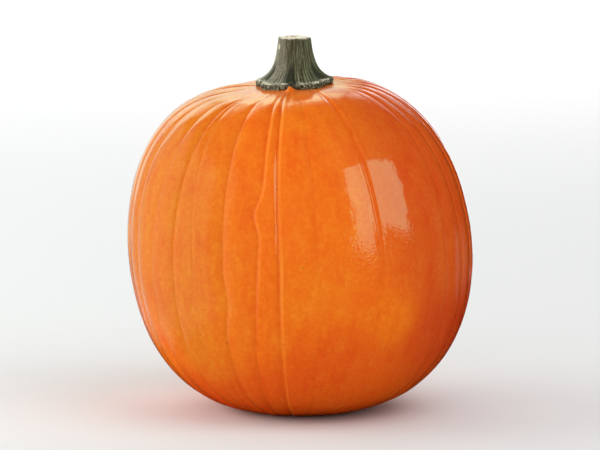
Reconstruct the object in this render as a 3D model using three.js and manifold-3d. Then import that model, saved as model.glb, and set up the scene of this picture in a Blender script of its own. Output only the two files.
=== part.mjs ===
// A round carving pumpkin, standing on a small flat spot round its blossom scar.
//
// The fruit is one closed surface: a rounded body drawn as a radius for every latitude and
// longitude, with a shallow seat at the top, a dimple at the foot and wandering furrows between
// its ribs. The stem is a five-sided woody handle, cut off flat, that flares into five lobes with
// a thick rolled lip; its underside follows the fruit's seat.
//
// Millimetres, +Z up. The origin is on the surface that the pumpkin stands on, under its middle.
// Longitude 0 faces -Y and grows towards +X; latitude 0 is the widest level.

import * as THREE from "three";
import { mergeVertices } from "three/addons/utils/BufferGeometryUtils.js";
import Module from "manifold-3d";

const { clamp, degToRad, euclideanModulo, lerp, radToDeg, smoothstep } = THREE.MathUtils;

// ---- Driving dimensions, in millimetres and degrees -------------------------------------------

// Fruit, as radii from its middle.
const GIRTH_RADIUS = 125.3; // at the widest level
const CROWN_RADIUS = 125.2; // straight up, before the seat is sunk
const FOOT_RADIUS = 120.2; // straight down, before the dimple is pressed in
const CHEEK_TOP = 7.7; // how much fuller than an oval it is at the shoulders
const CHEEK_FOOT = 7; // and below the girth
const CHEEK_POLEWARD = 2; // how far that fullness moves towards the poles
const SKEW_TOP = 1.6; // how much fuller it is to -X above the girth
const SKEW_FOOT = 1.2; // and to +X below it
const CROWN_SHIFT = -4; // sideways bend of the axis, as a shift of the crown along X
const TWO_LOBED = 1.2; // slow departures from round
const THREE_LOBED = 0.7;

const SEAT_DEPTH = 9; // the hollow that the stem sits in
const SEAT_REACH = 45;
const HIGH_SHOULDER = 3.4; // rise of the shoulder that stands higher, and where it is
const HIGH_SHOULDER_LONGITUDE = 130;
const HIGH_SHOULDER_REACH = 52;
const DIMPLE_DEPTH = 9; // the hollow round the blossom scar
const DIMPLE_REACH = 20;
const SCAR_RADIUS = 5; // the blossom scar, a low corky button
const SCAR_HEIGHT = 1.6;
const RESTING_HEIGHT = 117.5; // from the resting surface up to the middle of the fruit

// Furrows of the front half, from -X to +X: the longitude at the girth, its drifts by the
// shoulder and by the foot and its bow between girth and shoulder, in degrees, then how far the
// ribs beside it round down to it, how deep its crease is below them, and the share of both
// depths that is left under the girth.
const FRONT_FURROWS = [
  [-71, 3, 0, -0.5, 0.8, 0.15, 0.6],
  [-59.3, 6, -1.3, 0.8, 0.7, 0.15, 0.6],
  [-47.3, 4, -0.3, -0.4, 1.5, 0.2, 0.8],
  [-37.7, -2.5, 0.5, -0.2, 0.5, 0.15, 0.9],
  [-26.3, 0.2, -0.4, 0.2, 1.5, 0.25, 0.7],
  [-14.1, 0.8, -2.5, 1, 1.2, 0.45, 0.65],
  [-6.9, -1.6, -0.3, 0, 1.4, 0.6, 0.75],
  [6.2, -2.3, 0.1, 0, 0.7, 0.25, 0.7],
  [27.6, -5.8, -1.9, 0.8, 0.45, 0.9, 0.2],
  [46.4, 2, 2.5, -2, 0.35, 0.1, 0.6],
  [57.2, -2, 0, 0.8, 0.45, 0.1, 0.6],
  [68, -3, 0, 0, 0.5, 0.15, 0.6],
];
const BACK_FURROWS = 19;
const BACK_UNEVENNESS = 1.6; // how far a back furrow may stand from an even spacing
const BACK_DRIFT = [3, 2, 1.2]; // the most that its drifts and its bow may be
const BACK_DEPTHS = [
  [0.9, 0.3, 0.7], // the three depths of every other back furrow
  [0.6, 0.2, 0.5], // and of those between them
];
const CREASE_WIDTH = 1.5; // half the width of the sharp line at the bottom of a furrow
const CREASE_SHARE = 0.16; // the most that this may be, as a share of the rib's width
const RIB_UNEVENNESS = 0.3; // how much one rib stands above or below the next
const SHALLOWING = [-25, 8]; // latitudes from the upper of which furrows become shallower
const TOP_DRIFT_LATITUDE = 60; // where a furrow has drifted all the way
const FOOT_DRIFT_LATITUDE = -40;
const CROWN_FADE = [14, 50]; // distances from the axis over which furrows fade in
const SMOOTH_FADE = [26, 95]; // on the side where the crown is smoother
const SMOOTH_LONGITUDE = -20;
const FOOT_FADE = [7, 70];
const KINKS = [
  [3, -15, 6, -2], // the furrow's place, the latitude, half its length and its shift, in degrees
  [4, -11, 7, 1.6],
  [5, 18, 5, -2.5],
  [7, -13, 9, 2],
];

const NOSE = { longitude: -6.5, radius: 27, height: 3.4, across: 2.4, along: 5.5 };

// Stem.
const STEM_HEIGHT = 34.5; // above its seat
const CUT_RADIUS = 11;
const COLUMN_TAPER = 0.11; // growth of the radius per millimetre down the column
const FLARE_HEIGHT = 6; // the flare falls off by e in this height
const FLARE_LOBE = 26.5; // reach of the flare along a lobe, and in the notch between two
const FLARE_NOTCH = 12;
const LOBES = 5;
const LOBE_BREADTH = 0.35; // under 1 makes lobes broad and notches narrow, at the lip
const LOBE_RISE = 12; // up to about this height
const FRONT_NOTCH = -6; // longitude of one notch, which is shallower than the others
const FRONT_NOTCH_SHARE = 0.85;
const COLUMN_RIDGE = 0.6; // relief of the five corners of the column
const COLUMN_RIB = 0.22; // and of the finer ribs between them
const LIP_HEIGHT = 5; // where the flare meets the rolled lip
const LIP_SECTION = [2.2, 3]; // half the width and half the height of the roll
const CUT_SLOPE = 2; // the cut falls towards the front
const CUT_HOLLOW = 1.2;
const CUT_EDGE = 0.7; // height of the worn edge round the cut
const SEAT_LEVEL = 118.5; // of the seat, above the middle of the fruit
const STEM_ROOT = 6; // how far the uncut stem reaches into the fruit
const JOINT_GAP = 0.3;

// ---- Mesh density -----------------------------------------------------------------------------

const RIB_STATIONS = [0, 0.2, 0.5, 0.8]; // places across a rib that carry vertices
const FRUIT_ROWS = 38;
const ROW_CROWDING = 0.5; // rows stand closer near the poles
const STEM_COLUMNS = 75;
const WALL_ROWS = 9;
const LIP_ANGLES = [115, 75, 40, 5, -30, -65]; // round the rolled lip, in degrees

// ---- Helpers ----------------------------------------------------------------------------------

/** A repeatable number from -1 to 1 for a place in a series. */
function jitter(index, series) {
  const value = Math.sin(index * 12.9898 + series * 78.233) * 43758.5453;
  return (value - Math.floor(value)) * 2 - 1;
}

const bell = (distance, width) => Math.exp(-((distance / width) ** 2));

/** Closed surface: place(column, row) gives a point; the first and last rows are one point each. */
function closedSurface(columns, rows, place) {
  const geometry = new THREE.SphereGeometry(1, columns, rows);
  const position = geometry.attributes.position;
  for (let row = 0; row <= rows; row++) {
    for (let column = 0; column <= columns; column++) {
      const point = place(column % columns, row);
      position.setXYZ(row * (columns + 1) + column, point.x, point.y, point.z);
    }
  }
  geometry.deleteAttribute("normal");
  geometry.deleteAttribute("uv");
  return mergeVertices(geometry);
}

/** The point at this distance from the vertical axis, on a longitude in radians. */
function around(radius, longitude, z) {
  return new THREE.Vector3(
    radius * Math.sin(longitude),
    -radius * Math.cos(longitude),
    z,
  );
}

// ---- Fruit ------------------------------------------------------------------------------------

/** All furrows, in order of longitude: those of the front, then the rest by an uneven spacing. */
function makeFurrows() {
  const furrows = [...FRONT_FURROWS];
  const first = FRONT_FURROWS[0][0] + 360;
  const last = FRONT_FURROWS[FRONT_FURROWS.length - 1][0];
  for (let k = 1; k <= BACK_FURROWS; k++) {
    const even = lerp(last, first, k / (BACK_FURROWS + 1));
    const path = BACK_DRIFT.map((size, place) => size * jitter(k, 2 + place));
    const uneven = 1 + 0.2 * jitter(k, 5);
    const depths = BACK_DEPTHS[(k + 1) % 2].map((depth) => depth * uneven);
    furrows.push([even + BACK_UNEVENNESS * jitter(k, 1), ...path, ...depths]);
  }
  return furrows.map(([longitude, top, foot, bow, rounding, crease, left]) => ({
    longitude,
    top,
    foot,
    bow,
    rounding,
    crease,
    left,
  }));
}

const FURROWS = makeFurrows();

/** Longitude of a furrow's bottom at a latitude, in radians. */
function furrowLongitude(index, latitude) {
  const own = euclideanModulo(index, FURROWS.length);
  const turn = ((index - own) / FURROWS.length) * 360;
  const { longitude, top, foot, bow } = FURROWS[own];
  const degrees = radToDeg(latitude);
  const rise = degrees / TOP_DRIFT_LATITUDE;
  const fall = degrees / FOOT_DRIFT_LATITUDE;
  let path = turn + longitude + top * clamp(rise, 0, 1.3) + foot * clamp(fall, 0, 1.5);
  path += bow * Math.sin(Math.PI * clamp(rise, 0, 1));
  for (const [furrow, place, reach, shift] of KINKS) {
    path += furrow === own ? shift * bell(degrees - place, reach) : 0;
  }
  return degToRad(path);
}

/** How far a furrow's rounding and its crease are sunk at a latitude. */
function furrowDepths(index, latitude) {
  const { rounding, crease, left } = FURROWS[euclideanModulo(index, FURROWS.length)];
  const share = lerp(left, 1, smoothstep(latitude, ...SHALLOWING.map(degToRad)));
  return [rounding * share, crease * share];
}

/** Radius from the middle of the fruit before furrows. */
function bodyRadius(latitude, longitude) {
  const up = Math.sin(latitude);
  const out = Math.cos(latitude);
  const height = (1 + up) / 2; // 0 at the foot, 1 at the crown
  const pole = lerp(FOOT_RADIUS, CROWN_RADIUS, height);
  const cheek =
    lerp(CHEEK_FOOT, CHEEK_TOP, height) + CHEEK_POLEWARD * (2 * up * up - 1);
  const skew = lerp(SKEW_FOOT, SKEW_TOP, height);
  const uneven =
    TWO_LOBED * Math.sin(2 * longitude) + THREE_LOBED * Math.cos(3 * longitude);
  return (
    GIRTH_RADIUS * out ** 2 +
    pole * up ** 2 +
    cheek * Math.sin(2 * latitude) ** 2 -
    skew * Math.sin(3 * latitude) * out * Math.sin(longitude) +
    uneven * out ** 2
  );
}

/** Height of the small point of rind that rises into the stem's front notch. */
function noseHeight(latitude, longitude, reach) {
  const sideways = (longitude - degToRad(NOSE.longitude)) * reach;
  const height = NOSE.height * bell(sideways, NOSE.across);
  return latitude > 0 ? height * bell(reach - NOSE.radius, NOSE.along) : 0;
}

/** Share of the furrows' depth that is left at a distance from the axis of the crown. */
function crownFade(longitude, reach) {
  const side = smoothstep(Math.cos(longitude - degToRad(SMOOTH_LONGITUDE)), 0, 1);
  const [near, far] = CROWN_FADE.map((end, k) => lerp(end, SMOOTH_FADE[k], side));
  return smoothstep(reach, near, far);
}

/** Depth below the body at a share of the way across the rib that starts at a furrow. */
function ribDepth(index, share, latitude, longitude, reach) {
  const [rounding, crease] = furrowDepths(index, latitude);
  const [nextRounding, nextCrease] = furrowDepths(index + 1, latitude);
  const turn = furrowLongitude(index + 1, latitude) - furrowLongitude(index, latitude);
  const width = turn * reach;
  const creaseWidth = Math.min(CREASE_WIDTH, CREASE_SHARE * width);
  const hollow = lerp(rounding, nextRounding, share) * (1 - 2 * share) ** 2;
  const creases =
    crease * bell(share * width, creaseWidth) +
    nextCrease * bell((1 - share) * width, creaseWidth);
  const uneven = RIB_UNEVENNESS * jitter(euclideanModulo(index, FURROWS.length), 6);
  const crest = uneven * Math.sin(Math.PI * share) ** 2;
  const fade = latitude > 0 ? crownFade(longitude, reach) : smoothstep(reach, ...FOOT_FADE);
  return (hollow + creases - crest) * fade;
}

/** Height change of the seat under the stem, the high shoulder and the blossom dimple. */
function poleSinking(latitude, longitude, reach) {
  if (latitude > 0) {
    const span = (reach / HIGH_SHOULDER_REACH) ** 2;
    const side = Math.cos(longitude - degToRad(HIGH_SHOULDER_LONGITUDE));
    return (
      HIGH_SHOULDER * (span * Math.exp(1 - span)) ** 2 * side -
      SEAT_DEPTH * bell(reach, SEAT_REACH)
    );
  }
  return DIMPLE_DEPTH * bell(reach, DIMPLE_REACH) - SCAR_HEIGHT * bell(reach, SCAR_RADIUS);
}

/** Point of the fruit's surface, at a share of the way across a rib. */
function fruitPoint(index, share, latitude) {
  const longitude = lerp(
    furrowLongitude(index, latitude),
    furrowLongitude(index + 1, latitude),
    share,
  );
  const smooth = bodyRadius(latitude, longitude);
  const girth = smooth * Math.cos(latitude);
  const depth = ribDepth(index, share, latitude, longitude, girth);
  const radius = smooth - depth + noseHeight(latitude, longitude, girth);
  const reach = radius * Math.cos(latitude);
  const up = Math.sin(latitude);
  const z = radius * up + poleSinking(latitude, longitude, reach);
  const point = around(reach, longitude, Math.max(z + RESTING_HEIGHT, 0));
  point.x += (CROWN_SHIFT * (up + up ** 2)) / 2;
  return point;
}

function fruitGeometry() {
  const perRib = RIB_STATIONS.length;
  return closedSurface(FURROWS.length * perRib, FRUIT_ROWS, (column, row) => {
    const turn = (2 * Math.PI * row) / FRUIT_ROWS;
    const latitude = (Math.PI - turn + ROW_CROWDING * Math.sin(turn)) / 2;
    if (row === 0 || row === FRUIT_ROWS) {
      return fruitPoint(0, 0, latitude);
    }
    const index = Math.floor(column / perRib);
    return fruitPoint(index, RIB_STATIONS[column % perRib], latitude);
  });
}

// ---- Stem -------------------------------------------------------------------------------------

/** Height of the fruit's skin, without its furrows, at a distance from the axis of its crown. */
function skinLevel(longitude, reach) {
  let latitude = Math.PI / 2;
  for (let pass = 0; pass < 4; pass++) {
    latitude = Math.acos(reach / bodyRadius(latitude, longitude));
  }
  const height = bodyRadius(latitude, longitude) * Math.sin(latitude);
  return height + poleSinking(latitude, longitude, reach);
}

/** 1 in the middle of a lobe and less in the notch between two, sharper near the lip. */
function lobe(longitude, height) {
  const fromNotch = longitude - degToRad(FRONT_NOTCH);
  const wave = 0.5 - 0.5 * Math.cos(LOBES * fromNotch);
  const facing = (0.5 + 0.5 * Math.cos(fromNotch)) ** 6;
  const depth = lerp(1, FRONT_NOTCH_SHARE, facing);
  return 1 - depth * (1 - wave ** lerp(1, LOBE_BREADTH, bell(height, LOBE_RISE)));
}

/** Radius of the column and its flare at a height above the seat. */
function stemRadius(longitude, height) {
  const flare = lerp(FLARE_NOTCH, FLARE_LOBE, lobe(longitude, height));
  const ridge = -COLUMN_RIDGE * Math.cos(LOBES * (longitude - degToRad(FRONT_NOTCH)));
  const rib = COLUMN_RIB * Math.cos(4 * LOBES * longitude + 1);
  const column = CUT_RADIUS + COLUMN_TAPER * (STEM_HEIGHT - height);
  return column + ridge + rib + flare * Math.exp(-height / FLARE_HEIGHT);
}

/** Outline of the stem on one longitude, from the middle of the cut down to its root. */
function stemOutline(longitude) {
  const rim = stemRadius(longitude, STEM_HEIGHT);
  const outline = [
    [0, STEM_HEIGHT - CUT_HOLLOW],
    [0.4 * rim, STEM_HEIGHT - CUT_HOLLOW],
    [0.82 * rim, STEM_HEIGHT - 0.3 * CUT_EDGE],
    [0.95 * rim, STEM_HEIGHT],
  ];
  for (let row = 0; row <= WALL_ROWS; row++) {
    const height = lerp(STEM_HEIGHT - CUT_EDGE, LIP_HEIGHT, (row / WALL_ROWS) ** 0.8);
    outline.push([stemRadius(longitude, height), height]);
  }
  const foot = stemRadius(longitude, LIP_HEIGHT);
  const [halfWidth, halfHeight] = LIP_SECTION;
  for (const angle of LIP_ANGLES) {
    const turn = degToRad(angle);
    outline.push([
      foot + halfWidth * (0.4 + Math.cos(turn)),
      LIP_HEIGHT - halfHeight + halfHeight * Math.sin(turn),
    ]);
  }
  outline.push([0.8 * foot, -STEM_ROOT], [0, -STEM_ROOT]);
  return outline;
}

function stemGeometry() {
  const rows = stemOutline(0).length - 1;
  const fall = Math.tan(degToRad(CUT_SLOPE));
  return closedSurface(STEM_COLUMNS, rows, (column, row) => {
    const longitude = (2 * Math.PI * column) / STEM_COLUMNS;
    const [radius, height] = stemOutline(longitude)[row];
    const upness = smoothstep(height, LIP_HEIGHT, STEM_HEIGHT);
    const skin = skinLevel(longitude, stemRadius(longitude, LIP_HEIGHT));
    const level = radius > 0 ? lerp(skin, SEAT_LEVEL, upness) : SEAT_LEVEL;
    const point = around(radius, longitude, height + level + RESTING_HEIGHT);
    point.z += fall * point.y * upness;
    point.x += CROWN_SHIFT;
    return point;
  });
}

// ---- Solids -----------------------------------------------------------------------------------

const wasm = await Module();
wasm.setup();

function toSolid(geometry) {
  return new wasm.Manifold(
    new wasm.Mesh({
      numProp: 3,
      vertProperties: geometry.attributes.position.array,
      triVerts: new Uint32Array(geometry.index.array),
    }),
  );
}

function toGeometry(solid) {
  const mesh = solid.getMesh();
  return new THREE.BufferGeometry()
    .setAttribute("position", new THREE.BufferAttribute(mesh.vertProperties, 3))
    .setIndex(new THREE.BufferAttribute(mesh.triVerts, 1));
}

/** The stem, cut off where it meets the fruit, with the joint's gap. */
function seatedStem(fruit) {
  const raised = toSolid(fruit.clone().translate(0, 0, JOINT_GAP));
  return toGeometry(toSolid(stemGeometry()).subtract(raised));
}

// ---- Assembly ---------------------------------------------------------------------------------

const rind = new THREE.MeshStandardMaterial({
  color: 0xe86f1a,
  roughness: 0.28,
  metalness: 0,
});
const bark = new THREE.MeshStandardMaterial({
  color: 0x6b6e55,
  roughness: 0.85,
  metalness: 0,
});

function named(name, geometry, material) {
  const mesh = new THREE.Mesh(geometry, material);
  mesh.name = name;
  return mesh;
}

const fruitShape = fruitGeometry();
const pumpkin = new THREE.Group();
pumpkin.add(named("fruit", fruitShape, rind));
pumpkin.add(named("stem", seatedStem(fruitShape), bark));

export default pumpkin;
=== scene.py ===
"""A carving pumpkin: the looks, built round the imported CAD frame.

The fruit and the stem are drawn again here by the same formulas as the CAD solids, on a finer
mesh and with the fine relief that the solids leave out. Their shapes are worked out in
millimetres and turned into metres as a mesh is made. Materials, lights and the camera are in
metres. Longitude 0 faces -Y and grows towards +X; latitude 0 is the widest level of the fruit.
"""

import math

import bpy
import numpy as np
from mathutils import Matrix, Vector, noise


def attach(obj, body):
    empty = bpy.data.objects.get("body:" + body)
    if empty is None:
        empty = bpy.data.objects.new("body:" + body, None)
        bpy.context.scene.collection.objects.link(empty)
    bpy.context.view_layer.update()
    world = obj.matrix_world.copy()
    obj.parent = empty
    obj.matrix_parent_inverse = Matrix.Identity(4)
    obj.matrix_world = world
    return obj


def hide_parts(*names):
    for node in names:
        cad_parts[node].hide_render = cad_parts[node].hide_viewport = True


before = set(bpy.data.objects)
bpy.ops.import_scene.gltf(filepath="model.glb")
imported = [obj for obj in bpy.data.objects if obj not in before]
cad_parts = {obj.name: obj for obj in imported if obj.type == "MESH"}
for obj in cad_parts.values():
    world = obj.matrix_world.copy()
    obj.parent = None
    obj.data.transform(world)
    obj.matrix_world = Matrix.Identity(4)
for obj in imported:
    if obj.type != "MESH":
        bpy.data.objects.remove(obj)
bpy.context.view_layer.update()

MM = 0.001

# ---- Driving dimensions, as in the CAD source --------------------------------------------------

GIRTH_RADIUS = 125.3
CROWN_RADIUS = 125.2
FOOT_RADIUS = 120.2
CHEEK_TOP = 7.7
CHEEK_FOOT = 7.0
CHEEK_POLEWARD = 2.0
SKEW_TOP = 1.6
SKEW_FOOT = 1.2
CROWN_SHIFT = -4.0
TWO_LOBED = 1.2
THREE_LOBED = 0.7

SEAT_DEPTH = 9.0
SEAT_REACH = 45.0
HIGH_SHOULDER = 3.4
HIGH_SHOULDER_LONGITUDE = 130.0
HIGH_SHOULDER_REACH = 52.0
DIMPLE_DEPTH = 9.0
DIMPLE_REACH = 20.0
SCAR_RADIUS = 5.0
SCAR_HEIGHT = 1.6
RESTING_HEIGHT = 117.5

# Of each furrow: its longitude at the girth, its drifts by the shoulder and by the foot and its
# bow between girth and shoulder, in degrees, then how far the ribs beside it round down to it,
# how deep its crease is below them and the share of its depth that is left under the girth.
FRONT_FURROWS = [
    (-71, 3, 0, -0.5, 0.8, 0.15, 0.6),
    (-59.3, 6, -1.3, 0.8, 0.7, 0.15, 0.6),
    (-47.3, 4, -0.3, -0.4, 1.5, 0.2, 0.8),
    (-37.7, -2.5, 0.5, -0.2, 0.5, 0.15, 0.9),
    (-26.3, 0.2, -0.4, 0.2, 1.5, 0.25, 0.7),
    (-14.1, 0.8, -2.5, 1, 1.2, 0.45, 0.65),
    (-6.9, -1.6, -0.3, 0, 1.4, 0.6, 0.75),
    (6.2, -2.3, 0.1, 0, 0.7, 0.25, 0.7),
    (27.6, -5.8, -1.9, 0.8, 0.45, 0.9, 0.2),
    (46.4, 2, 2.5, -2, 0.35, 0.1, 0.6),
    (57.2, -2, 0, 0.8, 0.45, 0.1, 0.6),
    (68, -3, 0, 0, 0.5, 0.15, 0.6),
]
BACK_FURROWS = 19
BACK_UNEVENNESS = 1.6
BACK_DRIFT = (3, 2, 1.2)
BACK_DEPTHS = ((0.9, 0.3, 0.7), (0.6, 0.2, 0.5))  # of every other furrow behind, and between them
BACK_DEPTH_UNEVENNESS = 0.2
CREASE_WIDTH = 1.5
CREASE_SHARE = 0.16  # of a narrow rib's width, which its crease isn't wider than
RIB_UNEVENNESS = 0.3
TOP_DRIFT_LATITUDE = 60
TOP_DRIFT_END = 1.3  # the share of that latitude past which a furrow drifts no further
FOOT_DRIFT_LATITUDE = -40
FOOT_DRIFT_END = 1.5
CROWN_FADE = (14, 50)  # distances from the crown's axis between which furrows set in
SMOOTH_FADE = (26, 95)  # on the side where the crown is smoother
SMOOTH_LONGITUDE = -20
FOOT_FADE = (7, 70)
SHALLOWING = (-25, 8)  # latitudes from the upper of which furrows become shallower
# Kinks: the furrow's place in the list, the latitude, half its length and its shift, in degrees.
KINKS = [(3, -15, 6, -2), (4, -11, 7, 1.6), (5, 18, 5, -2.5), (7, -13, 9, 2)]
NOSE = {"longitude": -6.5, "radius": 27, "height": 3.4, "across": 2.4, "along": 5.5}

STEM_HEIGHT = 34.5
CUT_RADIUS = 11.0
COLUMN_TAPER = 0.11
FLARE_HEIGHT = 6.0
FLARE_LOBE = 26.5
FLARE_NOTCH = 12.0
LOBES = 5
LOBE_BREADTH = 0.35
LOBE_RISE = 12.0
FRONT_NOTCH = -6.0
FRONT_NOTCH_SHARE = 0.85
COLUMN_RIDGE = 0.6
COLUMN_RIB = 0.22
LIP_HEIGHT = 5.0
LIP_SECTION = (2.2, 3.0)
LIP_OVERHANG = 0.4  # of its half width, from the foot of the wall to the middle of its section
CUT_SLOPE = 2.0
CUT_HOLLOW = 1.2
CUT_EDGE = 0.7
SEAT_LEVEL = 118.5

# ---- Fine relief, which only this script has ---------------------------------------------------

DENTS = [(38.0, 0.22), (14.0, 0.09)]  # size and depth of slow dents in the rind
DRAWN_IN = 0.42  # at the girth, which keeps the dents inside the CAD part's box
# The ridge beside a crease: its height as a share of the crease's depth, its distance from the
# bottom of the crease and its half width.
CREASE_LIP = {"height": 0.8, "aside": 2.3, "half_width": 1.5}
HIGHLIGHT_ROUNDING = (0.5, 1.2)  # how far ribs round down where a ridge's painted highlight begins and is full
HIGHLIGHT_FULL_HEIGHT = 0.34  # of a ridge whose painted highlight is full
EASED_FURROW = {"place": 9, "share": 0.3}  # which furrow shows less deep, and how much is left
SHORT_CREASE = {
    "longitude": -4.6,
    "latitude": 52.0,
    "fade": 0.17,  # the stretch above that latitude where it sets in, in radians
    "radius": (20, 30),  # distances from the axis between which it starts
    "depth": 0.9,
    "width": 1.2,
}
UNDERSIDE = -1.6  # height of the stem's hidden underside
HOLLOW_RISE = (0.4, 0.85)  # shares of the cut's radius between which it rises to its rim
FIBRES = 66  # round the stem
FIBRE_DEPTH = 0.34
FIBRE_SINKING = 0.2  # how far the wall is drawn in under them
FIBRE_RIM = 0.93  # share of the cut's radius past which they set in
FIBRE_FOOT = (-1.5, 1)  # heights between which they end
FIBRE_WANDER = {"angle": 0.03, "height": 6, "waves": 3}  # how far they wander sideways and how often
FIBRE_NOISE = {"radius": 9.0, "height": 0.06}  # of the cylinder that their noise is read on
BROAD_FIBRES = {"size": 1.1, "sharpness": 3, "weight": 0.6}
FINE_FIBRES = {"size": 3.0, "unevenness": 2.5, "weight": 0.8}
FIBRE_RISE = 0.15  # how far the sum of both is raised
LIP_LUMPS = {"size": 3.0, "height": 1.2, "start": (-1, 1)}  # start: distances from the wall's foot
LIP_THINNING = {"longitude": 82, "reach": 0.6, "share": 0.35}  # a stretch where the lip is thinner
# Of the cut's ragged rim: the size and the height of its lumps, how much lower it is in all as a
# share of that height, how far down it reaches and the radii between which it sets in.
RAGGED_RIM = {"size": 2.0, "height": 0.6, "lowering": 0.8, "reach": 2.5, "radius": (2, 8)}
RIM_NOISE = {"radius": 6.0, "inwards": 0.1}  # the surface that its noise is read on

# ---- Where the stem's material changes ---------------------------------------------------------

CUT_INSET = (0.1, 0.8)  # from the rim inwards, where bark gives way to cut wood
CUT_REACH = 1.5  # below the top, past which there is no cut wood
LIP_START = (-1, 0.5)  # distances from the foot of the wall between which the lip begins
LIP_EDGE = {"level": -0.3, "reach": 0.9}  # where the painted highlight on its edge lies: level from LIP_HEIGHT, and reach
LIP_FACE = (0.9, 1.8)  # depths below LIP_HEIGHT between which its face begins
PALE_HOLLOW = (0.2, 0.6)  # radians from the front notch between which painted shade in the hollows comes in
FIBRE_UNIT = 10.0  # height that counts as one unit in the fibres' pattern

# ---- Mesh density ------------------------------------------------------------------------------

RIB_STATIONS = np.array(
    [0, 0.02, 0.04, 0.07, 0.11, 0.17, 0.26, 0.38, 0.5, 0.62, 0.74, 0.83, 0.89, 0.93, 0.96, 0.98]
)
FRUIT_ROWS = 200
ROW_CROWDING = 0.5
STEM_COLUMNS = 420
HOLLOW_ROWS = (0.08, 0.8, 12)  # in the cut: shares of its radius from first to last, and how many
RIM_ROWS = [(0.9, 0.0), (0.97, 0.15)]  # share of the cut's radius, and how far below its top
WALL_ROWS = 96
WALL_CROWDING = 0.85
LIP_ROWS = (125, -80, 24)  # degrees round the lip's section from first to last, and how many

# ---- Helpers -----------------------------------------------------------------------------------


def jitter(index, series):
    """A repeatable number from -1 to 1 for a place in a series."""
    value = np.sin(index * 12.9898 + series * 78.233) * 43758.5453
    return (value - np.floor(value)) * 2 - 1


def bell(distance, width):
    return np.exp(-((distance / width) ** 2))


def lerp(a, b, share):
    return a + (b - a) * share


def smoothstep(value, low, high):
    share = np.clip((value - low) / (high - low), 0, 1)
    return share * share * (3 - 2 * share)


def rough(points, size, octaves):
    """Noise from about -1 to 1 at each point of an array, with lumps of this size."""
    flat = (points / size).reshape(-1, 3)
    values = [noise.fractal(Vector(p), 1.0, 2.0, octaves) for p in flat.tolist()]
    return np.array(values).reshape(points.shape[:-1])


def around(radius, longitude, z):
    """Points at this distance from the vertical axis, on a longitude in radians."""
    return np.stack([radius * np.sin(longitude), -radius * np.cos(longitude), z], -1)


def grid_faces(rows, columns):
    """Faces of a closed grid whose first and last row are one point each."""
    ring = np.arange(columns)
    after = (ring + 1) % columns
    first = 1 + ring + columns * np.arange(rows - 2)[:, None]
    upper, lower = first[:-1], first[1:]
    quads = np.stack([upper, lower, lower[:, after], upper[:, after]], -1).reshape(-1, 4)
    last = 1 + columns * (rows - 2)
    top = np.stack([np.zeros_like(ring), first[0], first[0][after]], -1)
    end = np.stack([np.full_like(ring, last), first[-1][after], first[-1]], -1)
    return quads.tolist() + top.tolist() + end.tolist()


def grid_points(values):
    """The values of a grid as one list of points, with one point each for its first and last row."""
    between = values[1:-1].reshape(-1, *values.shape[2:])
    return np.concatenate([values[0, :1], between, values[-1, :1]])


def grid_object(name, points, attributes):
    """A closed mesh from rows of points, with a value or a vector at each by attribute name."""
    mesh = bpy.data.meshes.new(name)
    mesh.from_pydata((grid_points(points) * MM).tolist(), [], grid_faces(*points.shape[:2]))
    mesh.shade_smooth()
    for key, values in attributes.items():
        vector = values.ndim == 3
        made = mesh.attributes.new(key, "FLOAT_VECTOR" if vector else "FLOAT", "POINT")
        flat = grid_points(values).astype(np.float32).ravel()
        made.data.foreach_set("vector" if vector else "value", flat)
    mesh.update()
    thing = bpy.data.objects.new(name, mesh)
    bpy.context.scene.collection.objects.link(thing)
    return thing


# ---- Fruit -------------------------------------------------------------------------------------


def make_furrows():
    """The seven numbers of every furrow, in order, with one shallower than in the CAD source."""
    furrows = list(FRONT_FURROWS)
    first = FRONT_FURROWS[0][0] + 360
    last = FRONT_FURROWS[-1][0]
    for k in range(1, BACK_FURROWS + 1):
        longitude = lerp(last, first, k / (BACK_FURROWS + 1)) + BACK_UNEVENNESS * jitter(k, 1)
        path = [size * jitter(k, 2 + place) for place, size in enumerate(BACK_DRIFT)]
        unevenness = 1 + BACK_DEPTH_UNEVENNESS * jitter(k, 5)
        depths = [depth * unevenness for depth in BACK_DEPTHS[(k + 1) % 2]]
        furrows.append((longitude, *path, *depths))
    furrows = np.array(furrows, float)
    furrows[EASED_FURROW["place"], 4:6] *= EASED_FURROW["share"]
    return furrows


FURROWS = make_furrows()


def furrow_longitudes(latitude):
    """Longitude of each furrow's bottom at each latitude, and of the first one again a turn on."""
    degrees = np.degrees(latitude)[:, None]
    longitude, top, foot, bow = FURROWS[:, :4].T
    rise = degrees / TOP_DRIFT_LATITUDE
    path = longitude + top * np.clip(rise, 0, TOP_DRIFT_END)
    path = path + bow * np.sin(math.pi * np.clip(rise, 0, 1))
    path = path + foot * np.clip(degrees / FOOT_DRIFT_LATITUDE, 0, FOOT_DRIFT_END)
    for furrow, place, reach, shift in KINKS:
        path[:, furrow] += shift * bell(degrees[:, 0] - place, reach)
    return np.radians(np.concatenate([path, path[:, :1] + 360], 1))


def body_radius(latitude, longitude):
    """Radius from the middle of the fruit before furrows."""
    up, out = np.sin(latitude), np.cos(latitude)
    height = (1 + up) / 2
    cheek = lerp(CHEEK_FOOT, CHEEK_TOP, height) + CHEEK_POLEWARD * (2 * up * up - 1)
    skew = lerp(SKEW_FOOT, SKEW_TOP, height) * np.sin(3 * latitude) * out
    uneven = TWO_LOBED * np.sin(2 * longitude) + THREE_LOBED * np.cos(3 * longitude)
    return (
        GIRTH_RADIUS * out**2
        + lerp(FOOT_RADIUS, CROWN_RADIUS, height) * up**2
        + cheek * np.sin(2 * latitude) ** 2
        - skew * np.sin(longitude)
        + uneven * out**2
    )


def crease_shape(distance, width):
    """Share of a crease's depth at a distance from its bottom, beside a rib of this width."""
    return bell(distance, np.minimum(CREASE_WIDTH, CREASE_SHARE * width))


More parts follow.
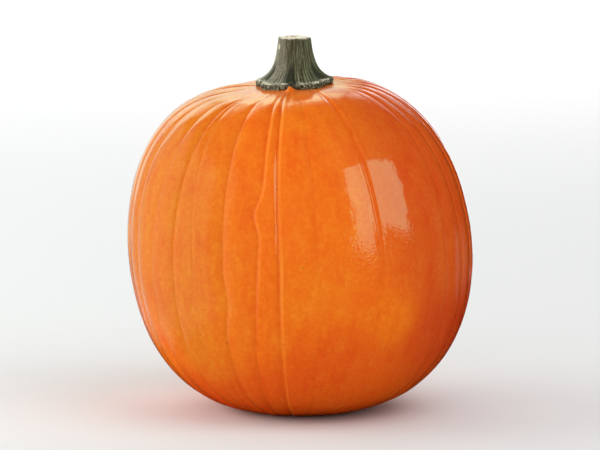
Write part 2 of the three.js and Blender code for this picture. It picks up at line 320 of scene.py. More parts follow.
def crown_fade(longitude, girth):
    """Share of the furrows' depth that is left at a distance from the axis of the crown."""
    side = smoothstep(np.cos(longitude - math.radians(SMOOTH_LONGITUDE)), 0, 1)
    near, far = (lerp(*pair, side) for pair in zip(CROWN_FADE, SMOOTH_FADE))
    return smoothstep(girth, near, far)


def nose_height(latitude, longitude, reach):
    """Height of the small point of rind that rises into the stem's front notch."""
    sideways = (longitude - math.radians(NOSE["longitude"])) * reach
    height = NOSE["height"] * bell(sideways, NOSE["across"])
    return np.where(latitude > 0, height * bell(reach - NOSE["radius"], NOSE["along"]), 0)


def pole_sinking(latitude, longitude, reach):
    """Height change of the seat under the stem, the high shoulder and the blossom dimple."""
    span = (reach / HIGH_SHOULDER_REACH) ** 2
    side = np.cos(longitude - math.radians(HIGH_SHOULDER_LONGITUDE))
    shoulder = HIGH_SHOULDER * (span * np.exp(1 - span)) ** 2 * side
    top = shoulder - SEAT_DEPTH * bell(reach, SEAT_REACH)
    foot = DIMPLE_DEPTH * bell(reach, DIMPLE_REACH) - SCAR_HEIGHT * bell(reach, SCAR_RADIUS)
    return np.where(latitude > 0, top, foot)


def short_crease(latitude, longitude, reach):
    """Depth of the extra crease that runs from the nose a little way down the front."""
    sideways = (longitude - math.radians(SHORT_CREASE["longitude"])) * reach
    start = math.radians(SHORT_CREASE["latitude"])
    lengthways = smoothstep(latitude, start, start + SHORT_CREASE["fade"])
    lengthways = lengthways * smoothstep(reach, *SHORT_CREASE["radius"])
    depth = SHORT_CREASE["depth"] * bell(sideways, SHORT_CREASE["width"]) * lengthways
    return np.where(latitude > 0, depth, 0)


def rib_relief(rows, edges, girth):
    """Depth of the skin across every rib, depth of its creases and a highlight painted on its ridges.

    None of them fades towards the poles yet.
    """
    count = len(FURROWS)
    share = RIB_STATIONS[None, None, :]
    width = edges[:, 1:] - edges[:, :-1]
    width = width[:, :, None] * girth.reshape(len(rows), count, len(RIB_STATIONS))
    rounding, crease, left = (FURROWS[:, k][None, :, None] for k in (4, 5, 6))
    depth = lerp(left, 1, smoothstep(rows, *np.radians(SHALLOWING))[:, None, None])
    rounding, crease = rounding * depth, crease * depth
    hollow = lerp(rounding, np.roll(rounding, -1, 1), share) * (1 - 2 * share) ** 2
    creases = crease * crease_shape(share * width, width)
    creases = creases + np.roll(crease, -1, 1) * crease_shape((1 - share) * width, width)
    beside = bell(share * width - CREASE_LIP["aside"], CREASE_LIP["half_width"])
    lips = CREASE_LIP["height"] * crease * beside
    crest = RIB_UNEVENNESS * jitter(np.arange(count), 6)[None, :, None]
    crest = crest * np.sin(math.pi * share) ** 2
    # A highlight painted on the ridges where ribs round down far to a crease.
    painted_highlight = lips * smoothstep(rounding, *HIGHLIGHT_ROUNDING) / HIGHLIGHT_FULL_HEIGHT
    relief = hollow + creases - lips - crest
    return [values.reshape(girth.shape) for values in (relief, creases, painted_highlight)]


def make_fruit():
    turn = 2 * math.pi * np.arange(FRUIT_ROWS + 1) / FRUIT_ROWS
    rows = (math.pi - turn + ROW_CROWDING * np.sin(turn)) / 2
    edges = furrow_longitudes(rows)
    longitude = lerp(edges[:, :-1, None], edges[:, 1:, None], RIB_STATIONS[None, None, :])
    longitude = longitude.reshape(len(rows), -1)
    latitude = np.repeat(rows[:, None], longitude.shape[1], 1)
    up, out = np.sin(latitude), np.cos(latitude)
    smooth = body_radius(latitude, longitude)
    girth = smooth * out
    relief, creases, painted_highlight = rib_relief(rows, edges, girth)
    fade = np.where(latitude > 0, crown_fade(longitude, girth), smoothstep(girth, *FOOT_FADE))

    radius = smooth - relief * fade + nose_height(latitude, longitude, girth)
    radius -= short_crease(latitude, longitude, girth)
    for size, depth in DENTS:
        radius += depth * rough(around(out, longitude, up) * GIRTH_RADIUS, size, 2) * out**0.5
    radius -= DRAWN_IN * out**2
    reach = radius * out
    z = radius * up + pole_sinking(latitude, longitude, reach) + RESTING_HEIGHT
    points = around(reach, longitude, np.maximum(z, 0))
    points[..., 0] += CROWN_SHIFT * (up + up**2) / 2

    count = len(FURROWS)
    rib_turn = 2 * math.pi * (np.arange(count)[:, None] + RIB_STATIONS[None, :]).ravel() / count
    attributes = {
        "streak": around(np.ones_like(latitude), np.broadcast_to(rib_turn, up.shape), latitude),
        # Where painted shade goes in the creases.
        "furrow": (creases * fade).clip(0, 1),
        # Where a highlight is painted on the ridges beside the deeper front creases.
        "ridge": (painted_highlight * fade).clip(0, 1),
    }
    return grid_object("fruit_rind", points, attributes)


# ---- Stem --------------------------------------------------------------------------------------


def skin_level(longitude, reach):
    """Height of the fruit's skin, without its furrows, at a distance from the crown's axis."""
    latitude = np.full_like(longitude, math.pi / 2)
    for _ in range(4):
        latitude = np.arccos(reach / body_radius(latitude, longitude))
    height = body_radius(latitude, longitude) * np.sin(latitude)
    return height + pole_sinking(latitude, longitude, reach)


def lobe(longitude, height):
    """1 in the middle of a lobe and less in the notch between two, sharper near the lip."""
    from_notch = longitude - math.radians(FRONT_NOTCH)
    wave = 0.5 - 0.5 * np.cos(LOBES * from_notch)
    facing = (0.5 + 0.5 * np.cos(from_notch)) ** 6
    depth = lerp(1, FRONT_NOTCH_SHARE, facing)
    breadth = lerp(1, LOBE_BREADTH, bell(height, LOBE_RISE))
    return 1 - depth * (1 - np.maximum(wave, 1e-9) ** breadth)


def stem_radius(longitude, height):
    """Radius of the column and its flare at a height above the seat."""
    flare = lerp(FLARE_NOTCH, FLARE_LOBE, lobe(longitude, height))
    ridge = -COLUMN_RIDGE * np.cos(LOBES * (longitude - math.radians(FRONT_NOTCH)))
    rib = COLUMN_RIB * np.cos(4 * LOBES * longitude + 1)
    column = CUT_RADIUS + COLUMN_TAPER * (STEM_HEIGHT - height)
    return column + ridge + rib + flare * np.exp(-height / FLARE_HEIGHT)


def fibre_relief(longitude, height):
    """Height of the wandering fibres that run down the stem's wall, as a share of their depth."""
    wave = np.sin(height / FIBRE_WANDER["height"] + FIBRE_WANDER["waves"] * longitude)
    turn = longitude + FIBRE_WANDER["angle"] * wave
    radius = np.full_like(longitude, FIBRE_NOISE["radius"])
    line = around(radius, turn, height * FIBRE_NOISE["height"])
    broad = 1 - np.abs(rough(line, BROAD_FIBRES["size"], 2)) * BROAD_FIBRES["sharpness"]
    uneven = FINE_FIBRES["unevenness"] * rough(line, FINE_FIBRES["size"], 1)
    fine = np.cos(FIBRES * turn + uneven)
    return BROAD_FIBRES["weight"] * broad + FINE_FIBRES["weight"] * fine + FIBRE_RISE


def stem_profile(columns):
    """Radius and height above the seat of every row, from the cut's middle to the underside's."""
    radii = []
    heights = []

    def row(radius, height):
        radii.append(np.broadcast_to(radius, columns.shape).astype(float))
        heights.append(np.broadcast_to(height, columns.shape).astype(float))

    rim = stem_radius(columns, STEM_HEIGHT)
    row(0.0, STEM_HEIGHT - CUT_HOLLOW)
    for share in np.linspace(*HOLLOW_ROWS):
        row(share * rim, STEM_HEIGHT - CUT_HOLLOW * (1 - smoothstep(share, *HOLLOW_RISE)))
    for share, drop in RIM_ROWS:
        row(share * rim, STEM_HEIGHT - drop)
    for share in np.linspace(0, 1, WALL_ROWS) ** WALL_CROWDING:
        height = lerp(STEM_HEIGHT - CUT_EDGE, LIP_HEIGHT, share)
        row(stem_radius(columns, height), height)
    foot = stem_radius(columns, LIP_HEIGHT)
    half_width, half_height = LIP_SECTION
    from_thinnest = columns - math.radians(LIP_THINNING["longitude"])
    thinning = 1 - LIP_THINNING["share"] * bell(from_thinnest, LIP_THINNING["reach"])
    for turn in np.radians(np.linspace(*LIP_ROWS)):
        outwards = half_width * thinning * (LIP_OVERHANG + math.cos(turn))
        row(foot + outwards, LIP_HEIGHT + half_height * thinning * (math.sin(turn) - 1))
    row(foot, UNDERSIDE)
    row(0.0, UNDERSIDE)
    return np.array(radii), np.array(heights)


def place_stem(radius, height, longitude, foot):
    """Points of the stem on its seat, with its slanted and ragged cut."""
    upness = smoothstep(height, LIP_HEIGHT, STEM_HEIGHT)
    level = lerp(skin_level(longitude[0], foot), SEAT_LEVEL, upness)
    level = np.where(radius > 0, level, SEAT_LEVEL)
    points = around(radius, longitude, height + level + RESTING_HEIGHT)
    points[..., 2] += math.tan(math.radians(CUT_SLOPE)) * points[..., 1] * upness
    near_rim = smoothstep(height, STEM_HEIGHT - RAGGED_RIM["reach"], STEM_HEIGHT)
    near_rim = near_rim * smoothstep(radius, *RAGGED_RIM["radius"])
    line = around(np.full_like(radius, RIM_NOISE["radius"]), longitude, radius * RIM_NOISE["inwards"])
    ragged = rough(line, RAGGED_RIM["size"], 3) - RAGGED_RIM["lowering"]
    points[..., 2] += RAGGED_RIM["height"] * ragged * near_rim
    points[..., 0] += CROWN_SHIFT
    return points


def stem_attributes(radius, height, longitude, rim, foot):
    """What the stem's material needs: where its cut, its lip and its hollows are."""
    outer = smoothstep(radius - foot, *LIP_START)
    above_lip = height - LIP_HEIGHT
    # Painted shade in the notches between the lobes, near the lip.
    hollow = (1 - lobe(longitude, height)) * bell(above_lip, LOBE_RISE)
    # Longitudes run up from 0, so only the right side of the front notch stays pale.
    darkness = smoothstep(np.abs(longitude - math.radians(FRONT_NOTCH)), *PALE_HOLLOW)
    return {
        "fibre": around(np.ones_like(radius), longitude, height / FIBRE_UNIT),
        "cut": smoothstep(rim - radius, *CUT_INSET) * (height > STEM_HEIGHT - CUT_REACH),
        # Painted highlight along the lip's upper edge.
        "edge": outer * bell(above_lip - LIP_EDGE["level"], LIP_EDGE["reach"]),
        "face": outer * smoothstep(-above_lip, *LIP_FACE),
        "hollow": hollow * darkness,
    }


def make_stem():
    columns = 2 * math.pi * np.arange(STEM_COLUMNS) / STEM_COLUMNS
    radius, height = stem_profile(columns)
    longitude = np.broadcast_to(columns, radius.shape)
    rim = stem_radius(columns, STEM_HEIGHT)
    foot = stem_radius(columns, LIP_HEIGHT)

    wall = smoothstep(radius, FIBRE_RIM * rim, rim) * smoothstep(height, *FIBRE_FOOT)
    grain = fibre_relief(longitude, height)
    radius = radius + wall * (FIBRE_DEPTH * grain - FIBRE_SINKING)
    half_height = LIP_SECTION[1]
    lip = bell(height - LIP_HEIGHT + half_height, half_height)
    lip = lip * smoothstep(radius - foot, *LIP_LUMPS["start"])
    lumps = rough(around(radius, longitude, height), LIP_LUMPS["size"], 3)
    radius = radius + lip * LIP_LUMPS["height"] * lumps

    points = place_stem(radius, height, longitude, foot)
    attributes = stem_attributes(radius, height, longitude, rim, foot)
    attributes["grain"] = grain
    return grid_object("stem_wood", points, attributes)


# ---- Materials ---------------------------------------------------------------------------------


class Nodes:
    """A short way to write a material's node tree."""

    def __init__(self, name):
        self.material = bpy.data.materials.new(name)
        self.material.use_nodes = True
        self.tree = self.material.node_tree
        self.shader = self.tree.nodes["Principled BSDF"]

    def link(self, source, socket):
        """Feed a socket from another, or set it to a number or a colour."""
        if isinstance(source, (int, float)):
            socket.default_value = source
        elif isinstance(source, tuple):
            socket.default_value = (*source, 1.0)
        else:
            self.tree.links.new(source, socket)

    def attribute(self, name, output="Fac"):
        node = self.tree.nodes.new("ShaderNodeAttribute")
        node.attribute_name = name
        return node.outputs[output]

    def coordinates(self):
        return self.tree.nodes.new("ShaderNodeTexCoord").outputs["Object"]

    def axis(self, vector, name):
        node = self.tree.nodes.new("ShaderNodeSeparateXYZ")
        self.link(vector, node.inputs[0])
        return node.outputs[name]

    def noise(self, vector, scale, detail, roughness):
        node = self.tree.nodes.new("ShaderNodeTexNoise")
        self.link(vector, node.inputs["Vector"])
        node.inputs["Scale"].default_value = scale
        node.inputs["Detail"].default_value = detail
        node.inputs["Roughness"].default_value = roughness
        return node.outputs["Fac"]

    def cells(self, vector, scale):
        """Distance from the nearest of many scattered points."""
        node = self.tree.nodes.new("ShaderNodeTexVoronoi")
        self.link(vector, node.inputs["Vector"])
        node.inputs["Scale"].default_value = scale
        return node.outputs["Distance"]

    def ramp(self, value, low, high, start=0.0, end=1.0):
        """value from low to high as a smooth step from start to end."""
        node = self.tree.nodes.new("ShaderNodeMapRange")
        node.interpolation_type = "SMOOTHSTEP"
        self.link(value, node.inputs["Value"])
        sockets = ("From Min", "From Max", "To Min", "To Max")
        for name, number in zip(sockets, (low, high, start, end)):
            self.link(number, node.inputs[name])
        return node.outputs["Result"]

    def vector_maths(self, operation, vector, other, output):
        node = self.tree.nodes.new("ShaderNodeVectorMath")
        node.operation = operation
        self.link(vector, node.inputs[0])
        node.inputs[1].default_value = other
        return node.outputs[output]

    def distance(self, vector, point):
        return self.vector_maths("DISTANCE", vector, point, "Value")

    def stretch(self, vector, size):
        return self.vector_maths("MULTIPLY", vector, size, "Vector")

    def maths(self, operation, a, b):
        node = self.tree.nodes.new("ShaderNodeMath")
        node.operation = operation
        self.link(a, node.inputs[0])
        self.link(b, node.inputs[1])
        return node.outputs[0]

    def plus(self, a, b, share):
        """a and this share of b."""
        return self.maths("ADD", a, self.maths("MULTIPLY", b, share))

    def mix(self, share, a, b, blend="MIX"):
        """Colour a with this share of colour b laid on it."""
        node = self.tree.nodes.new("ShaderNodeMix")
        node.data_type = "RGBA"
        node.blend_type = blend
        self.link(share, node.inputs["Factor"])
        # The node has sockets A and B for every type. Those of its colours have these numbers.
        self.link(a, node.inputs[6])
        self.link(b, node.inputs[7])
        return node.outputs[2]

    def layers(self, colour, patterns, table):
        """colour under the layers of a table, each of which follows a pattern by name."""
        for name, low, high, start, end, tint, blend in table:
            strength = self.ramp(patterns[name], low, high, start, end)
            colour = self.mix(strength, colour, tint, blend)
        return colour

    def bump(self, height, strength, distance, below=None):
        node = self.tree.nodes.new("ShaderNodeBump")
        self.link(strength, node.inputs["Strength"])
        node.inputs["Distance"].default_value = distance
        self.link(height, node.inputs["Height"])
        if below is not None:
            self.link(below, node.inputs["Normal"])
        return node.outputs["Normal"]

    def finish(self, colour, roughness, normal):
        self.link(colour, self.shader.inputs["Base Color"])
        self.link(roughness, self.shader.inputs["Roughness"])
        self.link(normal, self.shader.inputs["Normal"])
        return self.material


# Colours that are laid on as they are.
DEEP_ORANGE = (0.84, 0.164, 0.010)
# Painted light: the left side, where the key light falls, is paler.
PAINTED_LIT_SIDE = (0.69, 0.170, 0.014)
SHADED_SIDE = (0.67, 0.097, 0.012)
RIPE_PATCH = (0.86, 0.20, 0.010)
# Painted highlight on ridges beside creases.
PAINTED_RIDGE_HIGHLIGHT = (0.90, 0.25, 0.025)
PAINTED_CREASE_SHADE = (0.80, 0.09, 0.003)
PIT_BROWN = (0.30, 0.05, 0.01)
# What the colour beneath is multiplied by in redder, yellower and paler spots, as painted shade at
# the foot of the fruit and as painted light at the foot of its lit side.
REDDER = (0.95, 0.68, 0.80)
YELLOWER = (1.0, 1.09, 1.0)
PALER = (1.03, 1.4, 1.6)
PAINTED_FOOT_SHADE = (0.93, 0.68, 0.90)
PAINTED_FOOT_LIGHT = (1.28, 1.0, 1.0)

RIPE_PLACE = (0.064, -0.104, 0.080)  # the middle of the ripe patch
REDDER_BLOTCH = 0.4  # how much redder blotches are at one end of their noise
PALER_BLOTCH = 0.25  # and how much paler at the other
HIGHLIGHT_RIDGE_LEVELS = (0.5, 1.0)  # shares of the ridge mask between which the painted highlight comes in
HIGHLIGHT_PATCH_LEVELS = (0.35, 0.6, 0.3, 0.8)  # levels of the patches, and the painted highlight's strength at both
STREAK_STRETCH = (1.0, 1.0, 0.25)  # under 1 makes a noise longer along that axis
CLOUD_STRETCH = (1.0, 1.0, 0.5)
PITS_SCALE = 95.0
# Of each noise in the rind: how many lumps to the metre, its detail and its roughness.
RIND_NOISE = {
    "patches": (16.0, 2.0, 0.5),
    "streaks": (14.0, 4.0, 0.6),
    "clouds": (75.0, 3.0, 0.6),
    "blotches": (320.0, 3.0, 0.6),
    "flecks": (620.0, 2.0, 0.6),
    "peel": (620.0, 1.0, 0.5),
    "swell": (150.0, 2.0, 0.5),
}
# Of each layer of colour: the pattern that it follows, the two levels of the pattern between which
# it comes or goes, its strength at both, its colour and how it is laid on.
BROAD_LAYERS = [
    # Painted light on the left side.
    ("across", -0.075, -0.01, 1.0, 0.0, PAINTED_LIT_SIDE, "MIX"),
    ("aslant", 0.075, 0.135, 0.0, 1.0, SHADED_SIDE, "MIX"),
    # Painted shade at the foot, reaching higher on the right.
    ("lowness", -0.073, -0.035, 0.0, 1.0, PAINTED_FOOT_SHADE, "MULTIPLY"),
    # Painted light: redder at the foot of the lit left side.
    ("leftward_height", -0.045, 0.0, 1.0, 0.0, PAINTED_FOOT_LIGHT, "MULTIPLY"),
    ("patches", 0.45, 0.65, 0.0, 1.0, YELLOWER, "MULTIPLY"),
    ("ripeness", 0.012, 0.038, 0.8, 0.0, RIPE_PATCH, "MIX"),
    ("streaks", 0.5, 0.75, 0.0, 0.6, REDDER, "MULTIPLY"),
    ("clouds", 0.3, 0.5, 0.5, 0.0, REDDER, "MULTIPLY"),
    ("clouds", 0.5, 0.75, 0.0, 0.5, PALER, "MULTIPLY"),
]
BLOTCH_LEVELS = (0.35, 0.75)
FLECK_LAYERS = [("flecks", 0.5, 0.8, 0.0, 0.5, PALER, "MULTIPLY")]
MARK_LAYERS = [
    # Painted shade in the creases.
    ("furrow", 0.2, 0.8, 0.0, 0.25, PAINTED_CREASE_SHADE, "MIX"),
    ("pits", 0.035, 0.07, 0.6, 0.0, PIT_BROWN, "MIX"),
]
# Heights between which each changes, and its value at both: how strong the peel's bumps are below
# the shoulders, how much stronger they get at the crown, and the rind's roughness.
FOOT_COARSENESS = (0.128, 0.155, 0.9, 0.08)
CROWN_COARSENESS = (0.205, 0.23, 0.0, 0.3)
RIND_ROUGHNESS = (0.205, 0.235, 0.08, 0.15)
SWELL_BUMP = (0.5, 0.0003)  # strength and height of slow swells
PEEL_BUMP_HEIGHT = 0.00025


def rind_patterns(n, place):
    """What the rind's colours follow, by name."""
    streak = n.stretch(n.attribute("streak", "Vector"), STREAK_STRETCH)
    vectors = {"streaks": streak, "clouds": n.stretch(place, CLOUD_STRETCH)}
    found = {
        name: n.noise(vectors.get(name, place), *settings) for name, settings in RIND_NOISE.items()
    }
    height = n.axis(place, "Z")
    across = n.plus(n.axis(place, "X"), found["patches"], 0.02)
    found["across"] = across
    found["aslant"] = n.plus(across, height, 0.25)
    found["lowness"] = n.maths("SUBTRACT", n.maths("MULTIPLY", across, 0.35), height)
    found["leftward_height"] = n.maths("ADD", across, height)
    found["ripeness"] = n.plus(n.distance(place, RIPE_PLACE), found["clouds"], 0.012)
    found["furrow"] = n.attribute("furrow")
    found["pits"] = n.cells(place, PITS_SCALE)
    found["height"] = height
    return found


def rind_material():
    n = Nodes("rind")
    patterns = rind_patterns(n, n.coordinates())
    colour = n.layers(DEEP_ORANGE, patterns, BROAD_LAYERS)
    redder = n.mix(REDDER_BLOTCH, colour, REDDER, "MULTIPLY")
    paler = n.mix(PALER_BLOTCH, colour, PALER, "MULTIPLY")
    colour = n.mix(n.ramp(patterns["blotches"], *BLOTCH_LEVELS), redder, paler)
    colour = n.layers(colour, patterns, FLECK_LAYERS)
    # Painted highlight on the ridges beside the front creases, in patches.
    painted_highlight = n.ramp(n.attribute("ridge"), *HIGHLIGHT_RIDGE_LEVELS)
    painted_highlight = n.maths("MULTIPLY", painted_highlight, n.ramp(patterns["patches"], *HIGHLIGHT_PATCH_LEVELS))
    colour = n.mix(painted_highlight, colour, PAINTED_RIDGE_HIGHLIGHT)
    colour = n.layers(colour, patterns, MARK_LAYERS)
    height = patterns["height"]
    foot, crown = n.ramp(height, *FOOT_COARSENESS), n.ramp(height, *CROWN_COARSENESS)
    normal = n.bump(patterns["swell"], *SWELL_BUMP)
    normal = n.bump(patterns["peel"], n.maths("ADD", foot, crown), PEEL_BUMP_HEIGHT, normal)
    return n.finish(colour, n.ramp(height, *RIND_ROUGHNESS), normal)


BARK_OLIVE = (0.082, 0.072, 0.024)
BARK_GREY = (0.285, 0.256, 0.188)
BARK_DARK = (0.016, 0.014, 0.006)
BARK_PALE = (0.40, 0.41, 0.26)
# Colour of the painted highlight on the lip's edge.
LIP_HIGHLIGHT_COLOUR = (0.85, 0.80, 0.60)
CUT_CREAM = (0.88, 0.82, 0.66)
CUT_TAN = (0.50, 0.33, 0.17)

CHIP_PLACE = (-0.0160, -0.0035, 0.2635)  # of a pale chip in the bark
NOTCH_PLACE = (-0.0062, -0.0235, 0.2415)  # of the shade above the nose
FIBRE_STRETCH = (1.0, 1.0, 0.08)
STEM_NOISE = {
    "fine": (48.0, 4.0, 0.7),
    "speckle": (900.0, 3.0, 0.7),
    "patches": (90.0, 3.0, 0.5),
    "highlight_breakup": (230.0, 2.0, 0.5),
    "wood": (220.0, 3.0, 0.5),
}
BARK_LAYERS = [
    # Painted light: the stem stays paler grey on its lit left side and turns olive to the right.
    ("across", -0.011, -0.001, 0.0, 1.0, BARK_OLIVE, "MIX"),
    ("grain", -0.1, -0.9, 0.0, 0.75, BARK_DARK, "MIX"),
    ("grain", 0.5, 1.4, 0.0, 0.5, BARK_PALE, "MIX"),
    ("fine", 0.5, 0.7, 0.0, 0.35, BARK_PALE, "MIX"),
    ("speckle", 0.42, 0.55, 0.4, 0.0, BARK_DARK, "MIX"),
    ("fine", 0.34, 0.46, 0.7, 0.0, BARK_DARK, "MIX"),
    # Painted shade in the hollows between the lobes.
    ("hollow", 0.15, 0.6, 0.0, 0.8, BARK_DARK, "MIX"),
    # Painted shade on the stem's right side.
    ("across", 0.014, 0.034, 0.0, 0.7, BARK_DARK, "MIX"),
]
SPOT_LAYERS = [
    ("from_chip", 0.0012, 0.0030, 0.95, 0.0, CUT_CREAM, "MIX"),
    ("from_notch", 0.0030, 0.0060, 0.95, 0.0, BARK_DARK, "MIX"),
]
FACE_MOTTLE = (0.46, 0.64)  # levels of the speckle between which the lip's face turns pale
FACE_SHARE = 0.85
WOOD_LEVELS = (0.45, 0.7)  # of the wood's noise, between which cream turns tan
# The lip's edge gets a painted highlight where all of these are high: their levels and its share at
# both.
EDGE_HIGHLIGHT_MASKS = [
    ("speckle", 0.38, 0.55, 0.0, 1.0),
    ("highlight_breakup", 0.4, 0.56, 0.15, 1.0),
    ("across", 0.020, 0.034, 1.0, 0.1),
]
SPECKLE_BUMP = (0.5, 0.0004)  # strength and height
FIBRE_BUMP = (0.7, 0.0004)
STEM_ROUGHNESS = (0.3, 0.7, 0.65, 0.9)  # levels of the speckle, and the roughness at both


def stem_patterns(n, place):
    """What the stem's colours follow, by name."""
    fibre = n.stretch(n.attribute("fibre", "Vector"), FIBRE_STRETCH)
    found = {
        name: n.noise(fibre if name == "fine" else place, *settings)
        for name, settings in STEM_NOISE.items()
    }
    found["across"] = n.plus(n.axis(place, "X"), found["patches"], 0.008)
    found["grain"] = n.attribute("grain")
    found["hollow"] = n.attribute("hollow")
    found["from_chip"] = n.distance(place, CHIP_PLACE)
    found["from_notch"] = n.distance(place, NOTCH_PLACE)
    return found


def stem_material():
    n = Nodes("stem")
    patterns = stem_patterns(n, n.coordinates())
    colour = n.layers(BARK_GREY, patterns, BARK_LAYERS)
    mottle = n.mix(n.ramp(patterns["speckle"], *FACE_MOTTLE), BARK_DARK, BARK_PALE)
    colour = n.mix(n.maths("MULTIPLY", n.attribute("face"), FACE_SHARE), colour, mottle)
    # Painted highlight along the lip's upper edge, broken up and fainter on the right.
    painted_highlight = n.attribute("edge")
    for name, *levels in EDGE_HIGHLIGHT_MASKS:
        painted_highlight = n.maths("MULTIPLY", painted_highlight, n.ramp(patterns[name], *levels))
    colour = n.mix(painted_highlight, colour, LIP_HIGHLIGHT_COLOUR)
    colour = n.layers(colour, patterns, SPOT_LAYERS)
    wood = n.mix(n.ramp(patterns["wood"], *WOOD_LEVELS), CUT_CREAM, CUT_TAN)
    colour = n.mix(n.attribute("cut"), colour, wood)
    normal = n.bump(patterns["speckle"], *SPECKLE_BUMP)
    normal = n.bump(patterns["fine"], *FIBRE_BUMP, normal)
    return n.finish(colour, n.ramp(patterns["speckle"], *STEM_ROUGHNESS), normal)


# ---- Stage, lights and camera ------------------------------------------------------------------

FLOOR_HALF_WIDTH = 14.0
FLOOR_COLOUR = (0.77, 0.77, 0.77)
FLOOR_ROUGHNESS = 0.7
SKY_STRENGTH = 0.43

CAMERA_DISTANCE = 3.0
CAMERA_ELEVATION = 8.0
FRAME_WIDTH_PX = 600
FRAME_HEIGHT_PX = 450
FRUIT_WIDTH_PX = 345  # the fruit's width in the photo
FRUIT_MIDDLE_PX = 247  # and how far down the middle of its outline is
FRUIT_WIDTH = 250 * MM  # its real width
SENSOR = 36.0

# The window is mirrored as two panes. Of each: its shift along the window and upwards, its size
# and how far it is turned.
WINDOW_PLACE = Vector((0.457, -0.313, 0.283))  # from the fruit's middle
WINDOW_ALONG = Vector((0.521, 0.852, 0))
WINDOW_FACING = Vector((-0.852, 0.521, -0.053))
WINDOW_LIGHT = (2.9, (0.4, 1.08, 0.7))  # brightness and colour
WINDOW_PANES = [
    ("left", -0.12, -0.005, (0.17, 0.505), -3.5),
    ("right", 0.10, 0.022, (0.26, 0.40), -14),
]
# Of each soft box: its azimuth, elevation and distance from the fruit's middle, the size of its
# face, its brightness and its colour. These are only mirrored in the rind.
MIRRORED_BOXES = [
    ("wall_left", -104, 4, 1.9, (3.4, 2.8), 0.36, (0.85, 0.95, 0.9)),
    ("wall_back", 185.5, 8.5, 2.2, (0.98, 1.3), 0.7, (0.9, 1.0, 0.95)),
    ("wall_corner", 206.5, 12, 2.2, (0.66, 2.6), 0.65, (0.9, 1.0, 0.95)),
    ("ceiling_back", 196, 33, 2.2, (1.18, 1.05), 0.8, (0.6, 1.05, 0.6)),
    ("ceiling_mid", 182, 36, 2.2, (0.5, 0.54), 1.6, (0.7, 1.05, 0.7)),
    ("ceiling_far", 196, 26, 2.2, (1.5, 2.4), 0.38, (0.8, 1.0, 0.75)),
    ("window_back", 169, 12, 2.2, (0.27, 1.75), 1.9, (0.95, 0.95, 0.98)),
    ("window_high", 160, 28, 2.2, (0.6, 0.8), 0.75, (0.9, 1.0, 0.9)),
    ("window_low", 131, -8, 2.2, (0.05, 0.5), 2.6, (0.9, 0.92, 1.0)),
]
WHITE = (1.0, 1.0, 1.0)
# These aren't mirrored. Together with the sky they light the fruit, the stem and the floor.
LIGHTING_BOXES = [
    ("key", -98, 2, 1.9, (2.2, 2.4), 3.9, (0.9, 1.0, 0.95)),
    ("fill", -24, 13, 2.6, (3.2, 2.6), 1.2, WHITE),
    ("fill_right", 56, 32, 2.4, (2.0, 2.0), 1.05, WHITE),
    ("top", 50, 55, 2.2, (1.6, 1.6), 1.3, WHITE),
]
# This one hangs over the floor behind the fruit.
FAR_FLOOR_LIGHT = {"distance": 3.2, "height": 2.2, "size": (5.0, 2.0), "brightness": 2.6}


def direction(azimuth, elevation):
    """Unit vector towards a place seen from the fruit: azimuth from -Y towards +X, in degrees."""
    a, e = math.radians(azimuth), math.radians(elevation)
    return Vector((math.sin(a) * math.cos(e), -math.cos(a) * math.cos(e), math.sin(e)))


def make_camera(middle):
    data = bpy.data.cameras.new("camera")
    focal_px = CAMERA_DISTANCE * FRUIT_WIDTH_PX / FRUIT_WIDTH
    data.sensor_width = SENSOR
    data.lens = focal_px * SENSOR / FRAME_WIDTH_PX
    camera = bpy.data.objects.new("camera", data)
    bpy.context.scene.collection.objects.link(camera)
    camera.location = middle + direction(0, CAMERA_ELEVATION) * CAMERA_DISTANCE
    raised = math.atan((FRUIT_MIDDLE_PX - FRAME_HEIGHT_PX / 2) / focal_px)
    camera.rotation_euler = (math.radians(90 - CAMERA_ELEVATION) + raised, 0, 0)
    bpy.context.scene.camera = camera


def area_light(name, place, aim, size, brightness, colour, roll=0, mirrored=True):
    """A soft box at a place, facing another, that is either mirrored in the rind or lights it."""
    data = bpy.data.lights.new(name, "AREA")
    data.shape = "RECTANGLE"
    data.size, data.size_y = size
    data.energy = brightness * math.pi * size[0] * size[1]
    data.color = colour
    light = bpy.data.objects.new(name, data)
    bpy.context.scene.collection.objects.link(light)
    light.location = place
    light.rotation_euler = (Vector(place) - Vector(aim)).to_track_quat("Z", "Y").to_euler()
    light.rotation_euler.rotate_axis("Z", math.radians(roll))
    light.visible_camera = False
    light.visible_glossy = mirrored
    light.visible_diffuse = not mirrored


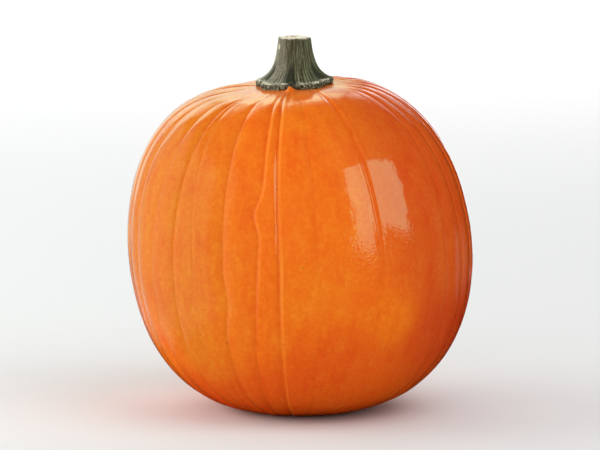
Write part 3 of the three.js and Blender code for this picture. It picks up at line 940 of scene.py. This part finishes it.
def floor_material():
    n = Nodes("pale_floor")
    n.link(FLOOR_COLOUR, n.shader.inputs["Base Color"])
    n.link(FLOOR_ROUGHNESS, n.shader.inputs["Roughness"])
    n.link(0.0, n.shader.inputs["Specular IOR Level"])
    return n.material


def make_stage():
    half = FLOOR_HALF_WIDTH
    mesh = bpy.data.meshes.new("floor")
    corners = [(-half, -half, 0), (half, -half, 0), (half, half, 0), (-half, half, 0)]
    mesh.from_pydata(corners, [], [(0, 1, 2, 3)])
    mesh.materials.append(floor_material())
    floor = bpy.data.objects.new("floor", mesh)
    bpy.context.scene.collection.objects.link(floor)
    floor.visible_glossy = False

    world = bpy.data.worlds.new("studio")
    world.use_nodes = True
    background = world.node_tree.nodes["Background"]
    background.inputs["Color"].default_value = (*WHITE, 1.0)
    background.inputs["Strength"].default_value = SKY_STRENGTH
    world.cycles_visibility.glossy = False
    bpy.context.scene.world = world


def make_lights(middle):
    window = middle + WINDOW_PLACE
    for side, aside, rise, size, roll in WINDOW_PANES:
        pane = window + WINDOW_ALONG * aside + Vector((0, 0, rise))
        area_light("window_" + side, pane, pane + WINDOW_FACING, size, *WINDOW_LIGHT, roll)
    for boxes, mirrored in ((MIRRORED_BOXES, True), (LIGHTING_BOXES, False)):
        for name, azimuth, elevation, distance, *settings in boxes:
            place = middle + direction(azimuth, elevation) * distance
            area_light(name, place, middle, *settings, mirrored=mirrored)
    aim = Vector((0, FAR_FLOOR_LIGHT["distance"], 0))
    place = aim + Vector((0, 0, FAR_FLOOR_LIGHT["height"]))
    size, brightness = FAR_FLOOR_LIGHT["size"], FAR_FLOOR_LIGHT["brightness"]
    area_light("far_floor", place, aim, size, brightness, WHITE, mirrored=False)


# ---- Scene -------------------------------------------------------------------------------------

fruit = make_fruit()
fruit.data.materials.append(rind_material())
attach(fruit, "root")
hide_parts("fruit")

stem = make_stem()
stem.data.materials.append(stem_material())
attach(stem, "root")
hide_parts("stem")

fruit_middle = Vector((0, 0, RESTING_HEIGHT * MM))
make_stage()
make_lights(fruit_middle)
make_camera(fruit_middle)
bpy.context.scene.view_settings.view_transform = "Standard"
